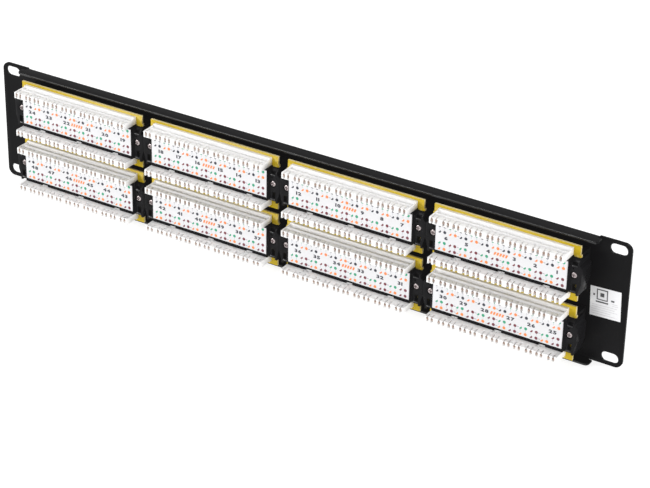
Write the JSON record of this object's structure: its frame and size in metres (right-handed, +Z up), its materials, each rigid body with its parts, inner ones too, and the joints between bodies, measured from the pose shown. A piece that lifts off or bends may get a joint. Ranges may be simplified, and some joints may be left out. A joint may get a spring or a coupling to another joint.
{
  "type": "patch panel",
  "caption": "Rack-width flanged panel with front modular sockets wired through circuit boards to white punch-down strips on its rear",
  "frame": {"origin": "centre of the four rack slots, on the rear face of the sheet", "axes": "+X along the panel, +Y out of the rear where the wiring strips stand, +Z up; the sockets open towards -Y"},
  "size_m": [0.4826, 0.0322, 0.0874],
  "materials": {
    "powder_coat": "semi-gloss black powder coat",
    "black_plastic": "moulded, lightly glossy",
    "white_plastic": "moulded, satin",
    "board_lacquer": "yellow solder mask",
    "card_stock": "printed card",
    "sticker_paper": "printed paper label",
    "contact_bronze": "tinned bronze",
    "contact_gold": "gold flash",
    "screw_plating": "bright plated"
  },
  "bodies": {
    "root": {"panel": "powder_coat", "sticker": "sticker_paper", "cover_screws": "screw_plating", "idc_contacts": "contact_bronze", "jack_housing_1": "black_plastic", "jack_contacts_1": "contact_gold", "circuit_board_1": "board_lacquer", "idc_strip_upper_1": "white_plastic", "idc_strip_lower_1": "white_plastic", "rear_cover_1": "black_plastic", "label_card_1": "card_stock", "jack_housing_2": "black_plastic", "jack_contacts_2": "contact_gold", "circuit_board_2": "board_lacquer", "idc_strip_upper_2": "white_plastic", "idc_strip_lower_2": "white_plastic", "rear_cover_2": "black_plastic", "label_card_2": "card_stock", "jack_housing_3": "black_plastic", "jack_contacts_3": "contact_gold", "circuit_board_3": "board_lacquer", "idc_strip_upper_3": "white_plastic", "idc_strip_lower_3": "white_plastic", "rear_cover_3": "black_plastic", "label_card_3": "card_stock", "jack_housing_4": "black_plastic", "jack_contacts_4": "contact_gold", "circuit_board_4": "board_lacquer", "idc_strip_upper_4": "white_plastic", "idc_strip_lower_4": "white_plastic", "rear_cover_4": "black_plastic", "label_card_4": "card_stock", "jack_housing_5": "black_plastic", "jack_contacts_5": "contact_gold", "circuit_board_5": "board_lacquer", "idc_strip_upper_5": "white_plastic", "idc_strip_lower_5": "white_plastic", "rear_cover_5": "black_plastic", "label_card_5": "card_stock", "jack_housing_6": "black_plastic", "jack_contacts_6": "contact_gold", "circuit_board_6": "board_lacquer", "idc_strip_upper_6": "white_plastic", "idc_strip_lower_6": "white_plastic", "rear_cover_6": "black_plastic", "label_card_6": "card_stock", "jack_housing_7": "black_plastic", "jack_contacts_7": "contact_gold", "circuit_board_7": "board_lacquer", "idc_strip_upper_7": "white_plastic", "idc_strip_lower_7": "white_plastic", "rear_cover_7": "black_plastic", "label_card_7": "card_stock", "jack_housing_8": "black_plastic", "jack_contacts_8": "contact_gold", "circuit_board_8": "board_lacquer", "idc_strip_upper_8": "white_plastic", "idc_strip_lower_8": "white_plastic", "rear_cover_8": "black_plastic", "label_card_8": "card_stock"}
  },
  "joints": []
}
